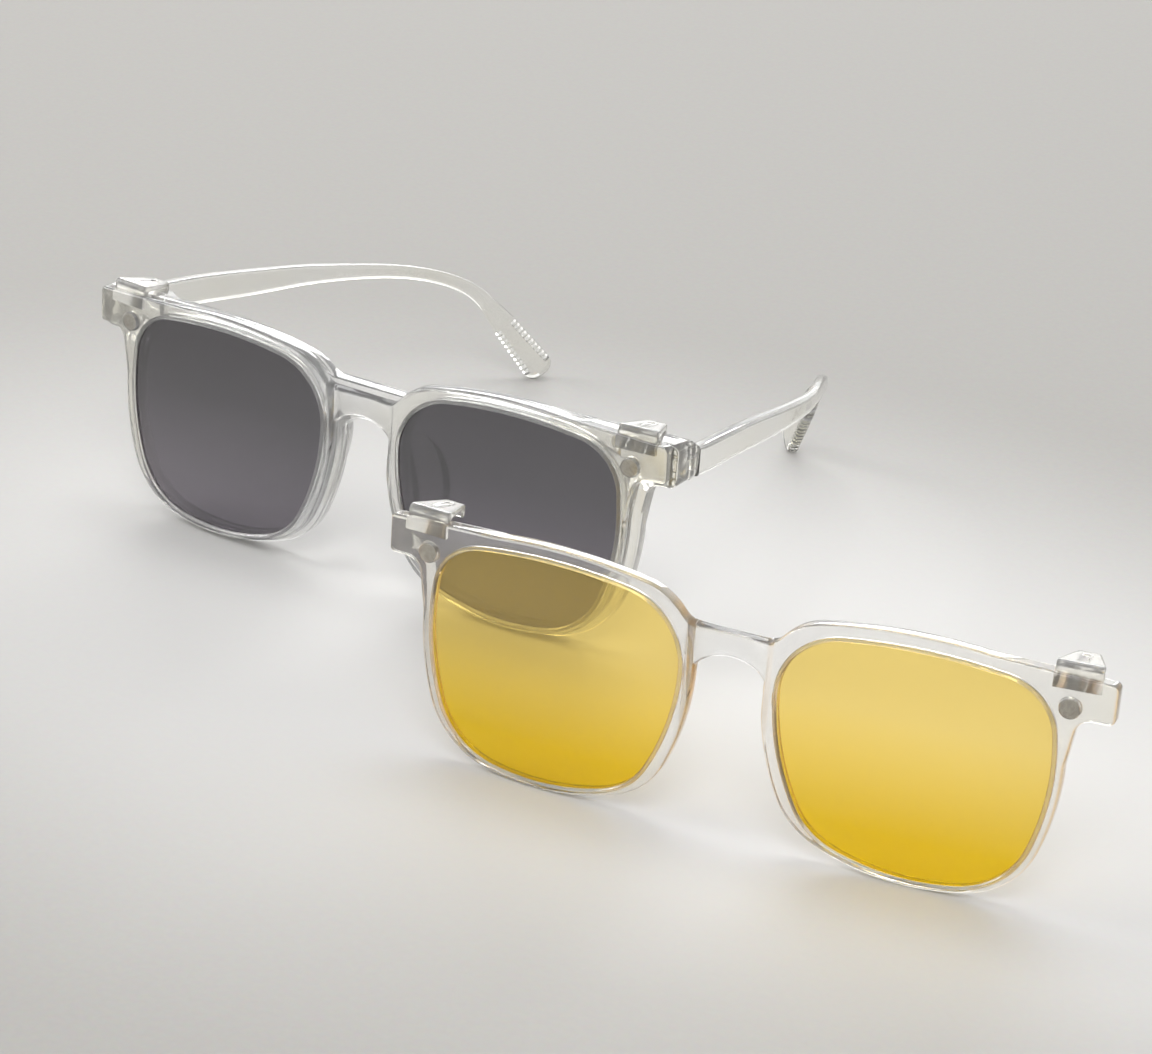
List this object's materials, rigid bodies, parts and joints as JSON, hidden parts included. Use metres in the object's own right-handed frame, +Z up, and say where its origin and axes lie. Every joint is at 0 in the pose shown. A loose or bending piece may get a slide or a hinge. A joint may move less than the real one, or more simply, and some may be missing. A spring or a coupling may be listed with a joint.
{
  "type": "magnetic clip on glasses",
  "caption": "Clear moulded glasses with folding temples, a grey magnetic clip fitted on the front, and a spare yellow clip of the same form standing beside them.",
  "frame": {"origin": "middle of the footprint of the whole set, on the surface that the glasses and the spare clip stand on", "axes": "+X to the wearer's left, +Y to the wearer's back, from the lenses to the temple tips, +Z up"},
  "size_m": [0.2648, 0.192, 0.0525],
  "materials": {
    "crystal_plastic": "polished clear moulded plastic",
    "temple_plastic": "polished clear moulded plastic",
    "claw_plastic": "slightly yellow clear moulded plastic",
    "pad_plastic": "clear plastic",
    "clear_lens": "clear polished lens",
    "grey_lens": "smoke grey polarised lens",
    "yellow_lens": "yellow night-driving lens",
    "magnet": "nickel-plated magnet disc",
    "screw_steel": "dark steel screw"
  },
  "bodies": {
    "front": {"front_frame": "crystal_plastic", "left_optical_lens": "clear_lens", "left_nose_pad": "pad_plastic", "left_frame_magnet": "magnet", "left_hinge_screw": "screw_steel", "right_optical_lens": "clear_lens", "right_nose_pad": "pad_plastic", "right_frame_magnet": "magnet", "right_hinge_screw": "screw_steel"},
    "left_temple": {"left_temple": "temple_plastic"},
    "right_temple": {"right_temple": "temple_plastic"},
    "grey_clip": {"grey_clip_frame": "crystal_plastic", "grey_left_lens": "grey_lens", "grey_left_magnet": "magnet", "grey_left_claw": "claw_plastic", "grey_right_lens": "grey_lens", "grey_right_magnet": "magnet", "grey_right_claw": "claw_plastic"},
    "yellow_clip": {"yellow_clip_frame": "crystal_plastic", "yellow_left_lens": "yellow_lens", "yellow_left_magnet": "magnet", "yellow_left_claw": "claw_plastic", "yellow_right_lens": "yellow_lens", "yellow_right_magnet": "magnet", "yellow_right_claw": "claw_plastic"}
  },
  "joints": [
    {"name": "left_temple_fold", "type": "hinge", "parent": "front", "child": "left_temple", "pos_m": [0.01215, -0.02375, 0.0437], "axis": [0, 0, 1], "range_deg": [0, 74]},
    {"name": "right_temple_fold", "type": "hinge", "parent": "front", "child": "right_temple", "pos_m": [-0.12925, -0.02375, 0.0437], "axis": [0, 0, -1], "range_deg": [0, 68]},
    {"name": "grey_clip_lift", "type": "slide", "parent": "front", "child": "grey_clip", "axis": [0, 0, 1], "range_m": [0, 0.06]},
    {"name": "yellow_clip_lift", "type": "slide", "parent": "front", "child": "yellow_clip", "axis": [0, 0, 1], "range_m": [0, 0.06]}
  ]
}
